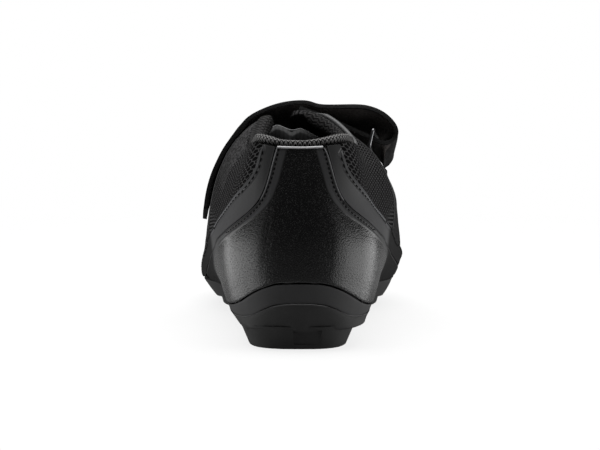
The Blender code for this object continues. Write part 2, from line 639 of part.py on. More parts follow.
def settle():
    """Moves everything so that the middle of the whole shoe's box stands over the origin."""
    meshes = [made.data for made in bpy.data.objects if not made.hide_render]
    points = np.array([vertex.co for mesh in meshes for vertex in mesh.vertices])
    middle = (points.min(axis=0) + points.max(axis=0)) / 2 * (1, 1, 0)
    for made in bpy.data.objects:
        made.data.transform(Matrix.Translation(-middle))


def main():
    for old in list(bpy.data.objects):
        bpy.data.objects.remove(old, do_unlink=True)
    make_upper()
    make_outsole()
    make_insole()
    make_pads()
    make_tongue()
    make_collar()
    make_panels()
    make_strap()
    make_ring()
    make_tab()
    settle()


main()
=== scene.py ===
# %% [markdown]
# # Dressing a cycling shoe
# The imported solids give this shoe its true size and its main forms. This lesson turns them into
# leather, mesh, knit, webbing, rubber and steel. Each piece starts from the solid that it stands for,
# so that it lies where the shoe needs it, and is then refined. +Y points to the toe, +X to the medial
# side and +Z up, in metres.

import heapq
import math

import bpy
import numpy as np
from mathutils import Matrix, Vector
from mathutils.bvhtree import BVHTree
from mathutils.kdtree import KDTree


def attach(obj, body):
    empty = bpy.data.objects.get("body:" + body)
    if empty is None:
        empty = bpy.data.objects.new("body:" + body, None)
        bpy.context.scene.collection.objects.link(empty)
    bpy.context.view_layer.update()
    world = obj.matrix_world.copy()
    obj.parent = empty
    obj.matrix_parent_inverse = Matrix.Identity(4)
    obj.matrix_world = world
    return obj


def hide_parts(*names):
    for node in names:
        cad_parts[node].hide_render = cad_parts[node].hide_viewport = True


MM = 0.001
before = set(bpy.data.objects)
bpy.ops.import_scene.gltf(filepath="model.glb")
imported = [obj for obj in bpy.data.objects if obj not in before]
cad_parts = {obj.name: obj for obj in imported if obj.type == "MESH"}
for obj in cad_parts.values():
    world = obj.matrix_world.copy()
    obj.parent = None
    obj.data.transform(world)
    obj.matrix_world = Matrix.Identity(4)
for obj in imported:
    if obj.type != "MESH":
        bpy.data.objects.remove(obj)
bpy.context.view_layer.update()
bpy.ops.object.select_all(action="DESELECT")
print("solids:", ", ".join(sorted(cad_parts)))

# %% [markdown]
# ## Camera
# The picture was taken from straight behind and a little above, with a long lens, so the shoe shows
# hardly any perspective. The camera stands one metre behind the heel and looks down by a few degrees.

# %% Camera
LOOK_DOWN = math.radians(4.5)
STAND_BACK = 1.0
FRAME_RISE = 0.0517
LENS = 144.0
HEEL_GROUND = Vector((-0.001, -0.127, 0.0))

look = Vector((0, math.cos(LOOK_DOWN), -math.sin(LOOK_DOWN)))
above = Vector((0, math.sin(LOOK_DOWN), math.cos(LOOK_DOWN)))
bpy.ops.object.camera_add(
    location=HEEL_GROUND - look * STAND_BACK + above * FRAME_RISE,
    rotation=(math.pi / 2 - LOOK_DOWN, 0, 0),
)
camera = bpy.context.object
camera.data.lens = LENS
camera.data.sensor_width = 36.0
bpy.context.scene.camera = camera
print("camera at", [round(c, 3) for c in camera.location])

# %% [markdown]
# ## Floor and light
# Black leather is drawn by what it mirrors. Two long, low soft boxes, one on each side, give the broad
# highlights on the flanks of the heel. They reach below the floor, because the flanks lean in towards
# the sole and mirror what is low. What stands behind the camera stays dark, so the middle of the heel
# stays black. A box overhead lights the rim and the cloth.

# %% Floor and lamps
FLOOR_GAP = 0.4 * MM
SIDE_OUT = 0.85
SIDE_AHEAD = 0.14
SIDE_HEIGHT = -0.13
SIDE_TALL = 0.42

bpy.ops.mesh.primitive_plane_add(size=2.0, location=(0, 0, -FLOOR_GAP))
floor = bpy.context.object
floor.name = "floor"


def soft_box(name, place, aim, wide, tall, power):
    """A rectangular lamp that faces a point."""
    bpy.ops.object.light_add(type="AREA", location=place)
    lamp = bpy.context.object
    lamp.name = name
    lamp.data.shape = "RECTANGLE"
    lamp.data.size, lamp.data.size_y = wide, tall
    lamp.data.energy = power
    lamp.rotation_euler = (Vector(aim) - Vector(place)).to_track_quat("-Z", "Y").to_euler()


for name, out, wide, power in (("box_left", -SIDE_OUT, 1.36, 5.0), ("box_right", SIDE_OUT, 1.48, 5.4)):
    soft_box(name, (out, SIDE_AHEAD, SIDE_HEIGHT), (0, SIDE_AHEAD, SIDE_HEIGHT), wide, SIDE_TALL, power)
soft_box("box_above", (0, 0, 1.4), (0, 0, 0), wide=1.8, tall=1.6, power=40)

# %% [markdown]
# ## Arithmetic with sockets
# A finish is mostly arithmetic on coordinates: where a hole of the mesh lies, how far a point is from
# a seam. Written as Python expressions it stays readable. The class wraps one output socket, each
# operator adds a Math node, and node() adds any other node.

# %% Sockets that add and multiply
def operator(operation):
    """A method that joins a socket and a second value by one Math node."""

    def joined(self, other=0.0):
        return self.node("ShaderNodeMath", {"operation": operation}, {0: self, 1: other})

    return joined


class Wire:
    """An output socket that takes part in expressions."""

    def __init__(self, tree, socket=None):
        self.tree, self.socket = tree, socket

    def node(self, kind, settings=None, sockets=None, out=0):
        """Any node: its settings first, then the values or links of its sockets."""
        made = self.tree.nodes.new(kind)
        for name, value in (settings or {}).items():
            setattr(made, name, value)
        for name, value in (sockets or {}).items():
            if isinstance(value, Wire):
                self.tree.links.new(value.socket, made.inputs[name])
            else:
                made.inputs[name].default_value = value
        return Wire(self.tree, made.outputs[out])

    def __rsub__(self, other):
        return self.node("ShaderNodeMath", {"operation": "SUBTRACT"}, {0: other, 1: self})

    __add__ = __radd__ = operator("ADD")
    __sub__ = operator("SUBTRACT")
    __mul__ = operator("MULTIPLY")
    __truediv__ = operator("DIVIDE")
    __mod__ = operator("FLOORED_MODULO")
    __abs__ = operator("ABSOLUTE")
    least, most, sine = operator("MINIMUM"), operator("MAXIMUM"), operator("SINE")

    def swing(self, length):
        """A sine wave of some length, from -1 to 1."""
        return (self * (2 * math.pi / length)).sine()

    def wave(self, length):
        """The same wave from 0 to 1."""
        return self.swing(length) * 0.5 + 0.5

    def ramp(self, low, high):
        """0 below low, 1 above high and a soft step between them; high may be the lower one."""
        settings = {"interpolation_type": "SMOOTHSTEP", "clamp": True}
        sockets = {"Value": self, "From Min": low, "From Max": high}
        return self.node("ShaderNodeMapRange", settings, sockets)

    def blend(self, low, high):
        """A colour between two, with this value as the share of the second; one number is a grey."""
        sockets = {"Factor": self}
        for place, end in ((6, low), (7, high)):
            sockets[place] = end if isinstance(end, Wire) else (*np.broadcast_to(end, 3), 1)
        return self.node("ShaderNodeMix", {"data_type": "RGBA"}, sockets, out=2)


print("sockets ready")

# %% [markdown]
# ## A material under way
# Every finish starts from the same few things: where a point is, what was measured on it, some noise
# and one shader. Bump gives only what is too fine to model, such as grain and yarn. Ahead of the heel
# the leather lies in shade, so both leathers give way to a painted shade there: a matt black without
# highlights.

# %% Finish
SHADE_BLACK_AHEAD = (0.014, 0.014, 0.014)
SHADE_AHEAD_RAMP = (-12.0, 9.0)


class Finish:
    """A material under way: its coordinates, measures and shader, with lengths in millimetres."""

    def __init__(self, name, roughness, **constants):
        self.material = bpy.data.materials.new(name)
        self.material.use_nodes = True
        self.wire = Wire(self.material.node_tree)
        self.shader = self.material.node_tree.nodes["Principled BSDF"]
        self.shader.inputs["Roughness"].default_value = roughness
        for socket, value in constants.items():
            self.shader.inputs[socket.replace("_", " ")].default_value = value

    def place(self):
        """Object coordinates."""
        where = self.wire.node("ShaderNodeTexCoord", out=3)
        sockets = {"Vector": where, "Scale": 1 / MM}
        return where.node("ShaderNodeVectorMath", {"operation": "SCALE"}, sockets)

    def flat(self):
        """The two coordinates of the piece's own map."""
        where = self.wire.node("ShaderNodeUVMap", {"uv_map": "flat"})
        parts = where.node("ShaderNodeSeparateXYZ", None, {0: where}).socket.node
        return [Wire(self.wire.tree, parts.outputs[k]) * (1 / MM) for k in (0, 1)]

    def share(self, name):
        """A share from 0 to 1 that was written on the piece's points."""
        return self.wire.node("ShaderNodeAttribute", {"attribute_name": name}, out=2)

    def measure(self, name):
        """A length that was written on the piece's points."""
        return self.share(name) * (1 / MM)

    def cells(self, where, size):
        """Distance to the middle of random cells."""
        return self.wire.node("ShaderNodeTexVoronoi", None, {"Vector": where, "Scale": 1 / size})

    def noise(self, where, size, detail=2.0):
        sockets = {"Vector": where, "Scale": 1 / size, "Detail": detail}
        return self.wire.node("ShaderNodeTexNoise", None, sockets)

    def relief(self, height, depth):
        """Bump of a depth for a height from 0 to 1."""
        sockets = {"Height": height, "Distance": depth * MM, "Strength": 1.0}
        self.feed("Normal", self.wire.node("ShaderNodeBump", None, sockets))

    def feed(self, socket, value):
        self.wire.tree.links.new(value.socket, self.shader.inputs[socket])

    def painted_shade_ahead(self):
        """Ahead of the heel the finish gives way to a painted shade, a matt black without highlights.
        """
        sockets = {"Base Color": (*SHADE_BLACK_AHEAD, 1), "Roughness": 0.75, "Specular IOR Level": 0.08}
        painted_shade = self.wire.node("ShaderNodeBsdfPrincipled", None, sockets)
        shiny = Wire(self.wire.tree, self.shader.outputs["BSDF"])
        # The painted shade starts where the heel turns away from the lamps.
        ahead = self.measure("ahead").ramp(*SHADE_AHEAD_RAMP)
        mixed = self.wire.node("ShaderNodeMixShader", None, {"Fac": ahead, 1: shiny, 2: painted_shade})
        surface = self.wire.tree.nodes["Material Output"].inputs["Surface"]
        self.wire.tree.links.new(mixed.socket, surface)


print("finishes can be made")

# %% [markdown]
# ## Paper and surroundings
# A white studio floor would throw light on the heel from below, and the heel in the picture is dark
# there. So the paper is thin: it is seen only close to the shoe, where it takes a faint shadow, and
# fades out farther off. The camera sees plain white round it. A room that really shone like that would
# wash out the black, so all other rays meet a world with only a faint glow.

# %% Paper and surroundings
PAPER_SEEN = 0.16
PAPER_FADES = (700.0, 200.0)
FAINT_GLOW = 0.05

world = bpy.data.worlds.new("studio")
world.use_nodes = True
bpy.context.scene.world = world
bpy.context.scene.view_settings.view_transform = "Standard"
sky = world.node_tree.nodes["Background"]
sky.inputs["Color"].default_value = (1, 1, 1, 1)
seen = Wire(world.node_tree).node("ShaderNodeLightPath", out="Is Camera Ray")
strength = seen.node("ShaderNodeMix", None, {"Factor": seen, "A": FAINT_GLOW, "B": 1.0})
world.node_tree.links.new(strength.socket, sky.inputs["Strength"])

paper = Finish("floor_paper", 0.9, Base_Color=(0.86, 0.86, 0.86, 1))
where = paper.place()
far_out = where.node("ShaderNodeVectorMath", {"operation": "LENGTH"}, {"Vector": where}, out=1)
paper.feed("Alpha", far_out.ramp(*PAPER_FADES) * PAPER_SEEN)
floor.data.materials.append(paper.material)
print("paper seen by", PAPER_SEEN, "near the shoe, glow of", FAINT_GLOW)

# %% [markdown]
# ## Leather finishes
# The heel is wrapped in grained leather: pebbles well under a millimetre, nearly black, with pale
# specks painted in as glints of the grain. Beside each seam it is pressed smooth, and a stitching
# groove runs in that band. The stripes are smooth leather with a paler margin, both darker towards the
# top, a painted shade. Painted maps would do, but here the distances from the seams are written on the
# points later and the finishes read them, so both always fit.

# %% Grained leather
STITCH_INSET = 2.1
PEBBLE, SPECK = 0.6, 0.42
GRAIN_BLACK, GRAIN_PAINTED_GLINT = (0.0030, 0.0030, 0.0031), 0.022
PRESSED_GREY = (0.026, 0.026, 0.027)
PRESSED_LOW, PRESSED_TOP = 3.6, 5.2
PRESSED_WIDENS = (50.0, 64.0)


def groove_at(distance):
    """1 in the stitching groove beside a seam and 0 elsewhere."""
    return abs(distance - STITCH_INSET).ramp(0.9, 0.3)


def grained_leather():
    made = Finish("grained_leather", 0.3)
    where = made.place()
    pebble, speck = made.cells(where, PEBBLE), made.noise(where, SPECK, 1.0)
    seam = made.measure("seam")
    widening = made.measure("height").ramp(*PRESSED_WIDENS) * (PRESSED_TOP - PRESSED_LOW)
    grained = (seam - widening).ramp(PRESSED_LOW - 0.5, PRESSED_LOW + 0.5)
    # Pale specks: painted glints of the grain, drawn into the colour.
    glint_specks = speck.ramp(0.52, 0.72)
    grain = glint_specks.blend(GRAIN_BLACK, GRAIN_PAINTED_GLINT)
    made.feed("Base Color", grained.blend(PRESSED_GREY, grain))
    made.feed("Roughness", 0.46 - grained * 0.22 + glint_specks * grained * 0.16)
    edge = groove_at(seam) * -0.3 + seam.ramp(0.0, 0.8) * 0.25 + grained * -0.3
    made.relief((pebble * 0.07 + speck * 0.06) * grained + edge, 1.0)
    made.painted_shade_ahead()
    return made.material


leather = grained_leather()
print("made", leather.name)

# %% Smooth leather
STRIPE_DARK, STRIPE_LIGHT = 0.009, (0.030, 0.030, 0.032)
STRIPE_MARGIN = (0.080, 0.081, 0.086)
STRIPE_SHADE_HEIGHTS = (72.0, 56.0)


def smooth_leather():
    made = Finish("smooth_leather", 0.5)
    where = made.place()
    rim, seam = made.measure("rim"), made.measure("seam")
    # Painted shade: the stripe and its margin are drawn darker towards the top.
    low = made.measure("height").ramp(*STRIPE_SHADE_HEIGHTS)
    margin = rim.ramp(STITCH_INSET + 0.2, STITCH_INSET - 0.4) * (low * 0.8 + 0.2)
    tint = made.noise(where, 9.0) * 0.4 + low * 0.6
    made.feed("Base Color", margin.blend(tint.blend(STRIPE_DARK, STRIPE_LIGHT), STRIPE_MARGIN))
    made.feed("Roughness", 0.46 + tint * 0.14)
    roll = rim.ramp(0.0, 1.2) * 0.35 + seam.ramp(0.0, 0.6) * -0.2
    made.relief(roll + groove_at(rim) * -0.4 + made.noise(where, 0.6) * 0.03, 1.0)
    made.painted_shade_ahead()
    return made.material


stripe_leather = smooth_leather()
print("made", stripe_leather.name)

# %% [markdown]
# ## Air mesh
# One material draws the whole wall of the shoe. The rear is air mesh: an open honeycomb by the ankle
# that closes to a fine diagonal rib lower down. Ahead of the ankle seams it is a close felt, and by
# the lateral rim a knit with upright rows. Holes are drawn dark and deep instead of being cut, because
# there are thousands of them.

# %% Air mesh
MESH_BLACK, MESH_GREY = 0.0003, (0.066, 0.065, 0.066)
HONEYCOMB, RIB, KNIT_ROW = 2.1, 1.6, 1.1
OPENS_AT = (54.0, 62.0)
LONG_KNOTS = (1.0, 0.4, 1.0)


def hexagons(u, v, size):
    """0 in the middle of each cell of a honeycomb and 0.5 on its walls."""
    tall = math.sqrt(3)

    def from_middle(shift):
        x = abs((u / size + shift) % 1.0 - 0.5)
        y = abs((v / size + shift * tall) % tall - tall / 2)
        return x.most(x * 0.5 + y * (tall / 2))

    return from_middle(0.0).least(from_middle(0.5))


def air_mesh():
    made = Finish("air_mesh", 0.8, Specular_IOR_Level=0.05)
    u, v = made.flat()
    where = made.place()
    warp = made.noise(where, 7.0)
    wall = 1.0 - hexagons(u * 0.45 + warp * 0.5, v, HONEYCOMB).ramp(0.47, 0.36)
    back = (u * 0.2 + v + warp * 0.8).wave(RIB).ramp(0.25, 0.75)
    back = back + (wall * 1.7 - back) * (v + warp * 6.0).ramp(*OPENS_AT)
    felt = made.noise(where, 0.8, 1.0).ramp(0.3, 0.7) * 0.5 + 0.15
    height = back + (felt - back) * made.measure("vamp").ramp(-0.5, 0.5)
    drawn = where.node("ShaderNodeVectorMath", {"operation": "MULTIPLY"}, {0: where, 1: LONG_KNOTS})
    knots = made.noise(drawn, 1.0, 1.0).ramp(0.40, 0.60)
    rows = (u * 0.5 + warp).wave(KNIT_ROW) * 0.6 + knots * 0.4
    height = height + (rows - height) * made.share("knit")
    cloud = made.noise(where, 11.0) * 0.9 + 0.5
    made.feed("Base Color", (height * cloud).blend(MESH_BLACK, MESH_GREY))
    made.feed("Roughness", 0.85 - height * 0.1)
    made.relief(height, 0.4)
    return made.material


mesh_cloth = air_mesh()
print("made", mesh_cloth.name)

# %% [markdown]
# ## Knit, lining and webbing
# The collar is a knit with zigzag rows, pale round the back of the heel and darker towards its two
# ends. The lining of the tongue and the footbed is finely ribbed. The strap is a plain weave whose
# inside, the loop side, is paler than its outside: a warmer tone of its own, lifted as painted light
# because little light reaches under the strap. Waves along the two coordinates of a piece's own
# map give all three.

# %% Knit, lining and webbing
YARN_BLACK, YARN_BACK, YARN_ENDS = 0.0005, (0.220, 0.216, 0.214), (0.026, 0.025, 0.025)
ENDS_DARKEN = (0.0, 30.0)
ZIGZAG, ZIGZAG_ROW, YARN = 2.1, 1.9, 0.7
LINING_DARK, LINING_LIGHT = 0.004, (0.018, 0.018, 0.019)
LINING_RIB = 1.9
STRAP_DARK, STRAP_LIGHT = 0.003, (0.024, 0.023, 0.023)
INSIDE_LIT_DARK, INSIDE_LIT_LIGHT = (0.052, 0.047, 0.044), (0.108, 0.098, 0.094)
CUT_EDGE = 0.010
WARP_YARN, WEFT_YARN = 1.1, 0.8


def zigzag_knit():
    made = Finish("zigzag_knit", 0.8, Specular_IOR_Level=0.2)
    u, v = made.flat()
    zigzag = abs((u / ZIGZAG) % 1.0 - 0.5) * 2.0
    row = (v / ZIGZAG_ROW + zigzag * 0.75).wave(1.0)
    height = row.ramp(0.15, 0.75) + (u + v).wave(YARN) * 0.2
    pale = made.measure("ahead").ramp(*ENDS_DARKEN).blend(YARN_BACK, YARN_ENDS)
    made.feed("Base Color", height.ramp(0.1, 1.1).blend(YARN_BLACK, pale))
    made.relief(height, 0.5)
    return made.material


def soft_lining():
    made = Finish("soft_lining", 0.85, Sheen_Weight=0.05)
    u, _ = made.flat()
    where = made.place()
    rib = (u + made.noise(where, 5.0) * 0.7).wave(LINING_RIB)
    shade = rib * 0.7 + made.noise(where, 0.7) * 0.3
    made.feed("Base Color", shade.blend(LINING_DARK, LINING_LIGHT))
    made.relief(shade, 0.3)
    return made.material


def strap_weave():
    made = Finish("strap_weave", 0.75, Specular_IOR_Level=0.12)
    u, v = made.flat()
    over = u.swing(WARP_YARN) * v.swing(WEFT_YARN) * 0.5 + 0.5
    shade = over * 0.4 + made.noise(made.place(), 1.1).ramp(0.35, 0.65) * 0.6
    # The inside is painted light: its own warmer tone, drawn paler because little light reaches under
    # the strap.
    inside = shade.blend(INSIDE_LIT_DARK, INSIDE_LIT_LIGHT)
    base = made.share("inner").blend(shade.blend(STRAP_DARK, STRAP_LIGHT), inside)
    edge = made.measure("edge")
    made.feed("Base Color", edge.ramp(1.3, 0.7).blend(base, CUT_EDGE))
    made.relief(shade * 0.6 + edge.ramp(0.2, 1.6) * 0.5, 0.25)
    return made.material


knit, lining, weave = zigzag_knit(), soft_lining(), strap_weave()
print("made", knit.name, lining.name, "and", weave.name)

# %% [markdown]
# ## Tapes, thread, sole and metal
# Folded edges, seams and threads are thin, so one plain recipe does for all, with its own colour each.
# The plate is moulded plastic, the pads and the heel band are rubber, and the ring is polished wire.
# Moulded black is never even: a cloudy tint and a very fine tooth keep it from looking like paint.

# %% Tapes, thread, sole and metal
def binding_tape(name, colour, shine=0.5):
    made = Finish(name, 0.55, Specular_IOR_Level=shine)
    where = made.place()
    darker, lighter = np.multiply(colour, 0.75), np.multiply(colour, 1.2)
    made.feed("Base Color", made.noise(where, 4.0).blend(darker, lighter))
    made.relief(made.noise(where, 0.5), 0.06)
    return made.material


def moulded(name, dark, light, roughness, tooth, cloud=(14.0, 3.0), depth=0.05, **constants):
    made = Finish(name, roughness[0], **constants)
    where = made.place()
    tint = made.noise(where, *cloud)
    made.feed("Base Color", tint.blend(dark, light))
    made.feed("Roughness", roughness[0] + tint * (roughness[1] - roughness[0]))
    made.relief(made.noise(where, tooth), depth)
    return made.material


tape = binding_tape("binding_tape", (0.055, 0.055, 0.056))
# The pale tape and the near-white one are painted highlights on folded edges.
painted_highlight_tape = binding_tape("painted_highlight_tape", (0.16, 0.16, 0.165))
seam_tape = binding_tape("seam_tape", (0.026, 0.026, 0.027), 0.4)
painted_glint_tape = binding_tape("painted_glint_tape", (0.55, 0.55, 0.56))
thread = binding_tape("black_thread", 0.0012, 0.04)
plate_plastic = moulded("plate_plastic", 0.046, 0.072, (0.56, 0.70), 0.6, Specular_IOR_Level=0.08)
pad_rubber = moulded("pad_rubber", 0.044, 0.070, (0.56, 0.70), 0.5, Specular_IOR_Level=0.08)
band_rubber = moulded(
    "matte_band", (0.040, 0.040, 0.041), (0.062, 0.062, 0.063), (0.52, 0.68), 0.5,
    cloud=(12.0, 2.0), depth=0.04, Specular_IOR_Level=0.25,
)
steel = moulded("ring_steel", (0.16, 0.16, 0.165), (0.30, 0.30, 0.31), (0.26, 0.40), 1.5, Metallic=1.0)
print("materials:", len(bpy.data.materials))

# %% [markdown]
# ## From a solid to a piece
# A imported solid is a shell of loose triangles. Its copy is merged and turned back into quads, and its
# real edges are creased so that they stay where they are. A subdivision surface then rounds everything
# between them, and a narrow bevel takes the sharpness off those edges. Rounding pulls a wall in a
# little, so its cage can first be pushed out by what would be lost.

# %% Copying a solid
MERGE = 0.002 * MM
SHARP = math.radians(42)


def pick(piece):
    bpy.ops.object.select_all(action="DESELECT")
    bpy.context.view_layer.objects.active = piece
    piece.select_set(True)


def copy_of(node, name, creased=True):
    """A merged copy of a solid in quads, with its real edges creased unless it is soft or round."""
    piece = bpy.data.objects.new(name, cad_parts[node].data.copy())
    bpy.context.scene.collection.objects.link(piece)
    pick(piece)
    bpy.ops.object.mode_set(mode="EDIT")
    bpy.ops.mesh.select_all(action="SELECT")
    bpy.ops.mesh.customdata_custom_splitnormals_clear()
    bpy.ops.mesh.remove_doubles(threshold=MERGE)
    bend, skew = math.radians(50), math.radians(60)
    bpy.ops.mesh.tris_convert_to_quads(face_threshold=bend, shape_threshold=skew)
    if creased:
        bpy.ops.mesh.select_mode(type="EDGE")
        bpy.ops.mesh.select_all(action="DESELECT")
        bpy.ops.mesh.edges_select_sharp(sharpness=SHARP)
        bpy.ops.transform.edge_crease(value=1.0)
    bpy.ops.object.mode_set(mode="OBJECT")
    piece.data.materials.clear()
    return piece


print("real edges turn by more than", round(math.degrees(SHARP)), "degrees")

# %% Refining a piece
EASING = 4


def apply(piece, kind, **settings):
    """Adds a modifier and applies it at once."""
    pick(piece)
    modifier = piece.modifiers.new(kind.lower(), kind)
    for name, value in settings.items():
        setattr(modifier, name, value)
    bpy.ops.object.modifier_apply(modifier=modifier.name)


def points_of(piece):
    flat = np.empty(len(piece.data.vertices) * 3)
    piece.data.vertices.foreach_get("co", flat)
    return flat.reshape(-1, 3)


def set_points(piece, points):
    piece.data.vertices.foreach_set("co", np.ravel(points))
    piece.data.update()


def spread(values, ends):
    """Each point's value averaged with those of its neighbours."""
    total, count = values.copy(), np.ones(len(values))
    for near, far in ((0, 1), (1, 0)):
        np.add.at(total, ends[:, near], values[ends[:, far]])
        np.add.at(count, ends[:, near], 1)
    return total / count[:, None]


def refine(piece, levels, bevel=0.0, fit=0):
    """Rounds a piece and softens its edges; each turn of fit gives back what the rounding takes off."""
    wanted = points_of(piece)
    cage = wanted.copy()
    ends = np.array([edge.vertices[:] for edge in piece.data.edges])
    rounding = piece.modifiers.new("rounding", "SUBSURF")
    rounding.levels = rounding.render_levels = levels
    for _ in range(fit):
        shown = piece.evaluated_get(bpy.context.evaluated_depsgraph_get())
        short = wanted - points_of(shown)[: len(wanted)]
        for _ in range(EASING):
            short = spread(short, ends)
        cage += short
        set_points(piece, cage)
    pick(piece)
    bpy.ops.object.modifier_apply(modifier=rounding.name)
    if bevel:
        apply(piece, "BEVEL", width=bevel, segments=2, limit_method="ANGLE", angle_limit=SHARP)
    pick(piece)
    bpy.ops.object.shade_smooth_by_angle(angle=SHARP)


print("pieces can be refined")

# %% [markdown]
# ## Measuring and handing over
# Finishes need to know how far a point is from a seam or a rim, and where it lies on the unrolled
# wall. Those measures are worked out once and written on the points. The wall is unrolled round an
# upright axis at the heel, so that patterns run on evenly from the sides to the back.

# %% Measuring and handing over
HEEL_TURN_Y = -0.100
HEEL_RADIUS = 0.036
WIDEST = 0.045
TINY = 1e-9


def fade(values, start, stop):
    """0 at start, 1 at stop and a straight slope between them; stop may be the lower one."""
    return np.clip((values - start) / (stop - start), 0, 1)


def run_of(line):
    """How far along a line each of its points lies."""
    return np.r_[0, np.cumsum(np.linalg.norm(np.diff(line, axis=0), axis=1))]


def read_at(places, run, values):
    """What belongs to a line's points, read at some places along the line."""
    return np.stack([np.interp(places, run, values[:, k]) for k in range(3)], axis=1)


def even(line, step):
    """The same line with points at even steps."""
    run = run_of(line)
    steps = max(int(round(run[-1] / step)), 1)
    return read_at(np.linspace(0, run[-1], steps + 1), run, line)


def distance_to(points, line):
    """How far each point is from a line."""
    tree = KDTree(len(line))
    for k, place in enumerate(line):
        tree.insert(place, k)
    tree.balance()
    return np.array([tree.find(p)[2] for p in points])


def girth(points):
    """How far along the wall from the middle of the heel, and how far up it, both unrolled."""
    x, y, z = np.asarray(points).T
    behind = HEEL_TURN_Y - y
    radius = np.where(behind > 0, np.hypot(x, behind), np.abs(x))
    turned = np.arctan2(np.abs(x), np.maximum(behind, 0))
    return HEEL_RADIUS * turned + np.maximum(-behind, 0), z + np.maximum(WIDEST - radius, 0)


def write_flat(piece, u, v):
    """Writes two coordinates of the points as the piece's own map."""
    layer = piece.data.uv_layers.new(name="flat")
    corner = np.empty(len(piece.data.loops), int)
    piece.data.loops.foreach_get("vertex_index", corner)
    layer.data.foreach_set("uv", np.stack([u[corner], v[corner]], axis=1).astype(np.float32).ravel())


def write_measures(piece, **measures):
    for name, values in measures.items():
        layer = piece.data.attributes.new(name, "FLOAT", "POINT")
        layer.data.foreach_set("value", np.asarray(values, np.float32))


def hand_over(piece, node, material):
    """Gives a finished piece its material and its place on the shoe."""
    piece.data.materials.append(material)
    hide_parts(node)
    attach(piece, "root")
    print(piece.name, "stands for", node, "with", len(piece.data.polygons), "faces")


print("measures can be written")

# %% [markdown]
# ## Upper
# The wall of the shoe is one piece. Its rear part is open air mesh, which shows from behind above the
# stripes, and its front part is a close felt. A seam on each side of the ankle parts the two. Two
# pieces would gape there, so one material draws both, and reads how far ahead of the seam a point is.

# %% Upper
PANEL_SEAM = {
    "lateral": ((-36, 84), (-33, 74), (-31, 66), (-28, 56), (-22, 41)),
    "medial": ((-45, 84), (-42, 74), (-36, 67), (-29, 59), (-17, 41)),
}
RIM_KNIT = (0.014, 0.009)
RIM_KNIT_REAR = -0.066


def panel_seam(side, height):
    """How far forward the seam on one side lies at some heights."""
    forward, up = np.array(PANEL_SEAM[side][::-1]).T * MM
    return np.interp(height, up, forward)


upper = copy_of("upper", "upper_cloth")
refine(upper, 2, 0.3 * MM, fit=4)
points = points_of(upper)
lateral = points[:, 0] < 0
write_flat(upper, *girth(points))
from_rim = distance_to(points, points_of(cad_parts["collar"]))
beside_rim = fade(from_rim, *RIM_KNIT)
seams = [panel_seam(side, points[:, 2]) for side in ("lateral", "medial")]
write_measures(
    upper,
    knit=beside_rim * lateral * (points[:, 1] > RIM_KNIT_REAR),
    vamp=points[:, 1] - np.where(lateral, *seams),
)
hand_over(upper, "upper", mesh_cloth)

# %% [markdown]
# ## Borders of the panels
# Four panels lie on the mesh: the grained counter round the heel, a smooth stripe on each side of it
# and a matte band above the sole. Seams, stitches and folded edges follow their borders. A border
# could be typed in, but it is safer to find it: the real edges of the outer face, walked as a loop.

# %% Borders of the panels
CREASED = 0.5
STRIPE_LEAN = 1.5
HEEL_FRONT = -0.054
HEEL_FULLEST = (0.036, 0.042)
HEEL_BEND = 150.0
BEND_LIMITS = (0.018, 0.1)


def outward(points):
    """Roughly away from the foot, at points of the wall."""
    way = np.array(points) * (1, 0, 0)
    way[:, 1] = np.minimum(np.array(points)[:, 1] - HEEL_TURN_Y, 0)
    return way / np.maximum(np.linalg.norm(way, axis=1, keepdims=True), TINY)


def border(piece):
    """The outer face's border of a laid panel, as a closed loop of points."""
    mesh = piece.data
    crease = mesh.attributes["crease_edge"].data
    normals = np.array([v.normal for v in mesh.vertices])
    outside = np.einsum("ij,ij->i", normals, outward(points_of(piece))) > 0
    near = {}
    for edge in mesh.edges:
        a, b = edge.vertices
        if crease[edge.index].value > CREASED and outside[a] and outside[b]:
            near.setdefault(a, []).append(b)
            near.setdefault(b, []).append(a)
    start = max(near, key=lambda k: mesh.vertices[k].co.y)
    loop, before = [start], None
    while True:
        ahead = [k for k in near[loop[-1]] if k != before]
        if not ahead or ahead[0] == start or len(loop) > len(near):
            break
        before = loop[-1]
        loop.append(ahead[0])
    return np.array([mesh.vertices[k].co for k in loop])


def halves(loop, key):
    """The loop cut where a key is least and greatest, as two lines, the higher one first."""
    loop = np.roll(loop, -int(np.argmin(key(loop))), axis=0)
    far = int(np.argmax(key(loop)))
    sides = [loop[: far + 1], np.concatenate([loop[far:], loop[:1]])[::-1]]
    return sorted(sides, key=lambda side: -side[:, 2].mean())


def down_the_stripe(points):
    """Grows from the top of a stripe to its front end."""
    return girth(points)[0] - STRIPE_LEAN * points[:, 2]


def along_the_wall(points):
    """Grows from the lateral front round the heel to the medial front."""
    return np.sign(points[:, 0]) * girth(points)[0]


def past_the_heel(points):
    """How far points lie ahead of the rounded heel, whose limit bends forward above and below."""
    rise = points[:, 2] - np.where(points[:, 0] < 0, *HEEL_FULLEST)
    bend = np.minimum(HEEL_BEND * rise ** 2, np.where(rise < 0, *BEND_LIMITS))
    return points[:, 1] - HEEL_FRONT - bend


print("borders can be walked")

# %% [markdown]
# ## Panels
# Each panel is refined like the upper. The stripes come first, because their inner borders are the
# counter's seam. The field of the counter is smoothed as well, or its highlights would show every
# facet of the solid.

# %% Panels
FINE_STEP = 0.4 * MM
SEAM_STEP = 0.8 * MM
STRIPE_TOP = 1.6 * MM
FIELD_INSET = 3.0 * MM
PANEL_BEVEL = 0.25 * MM

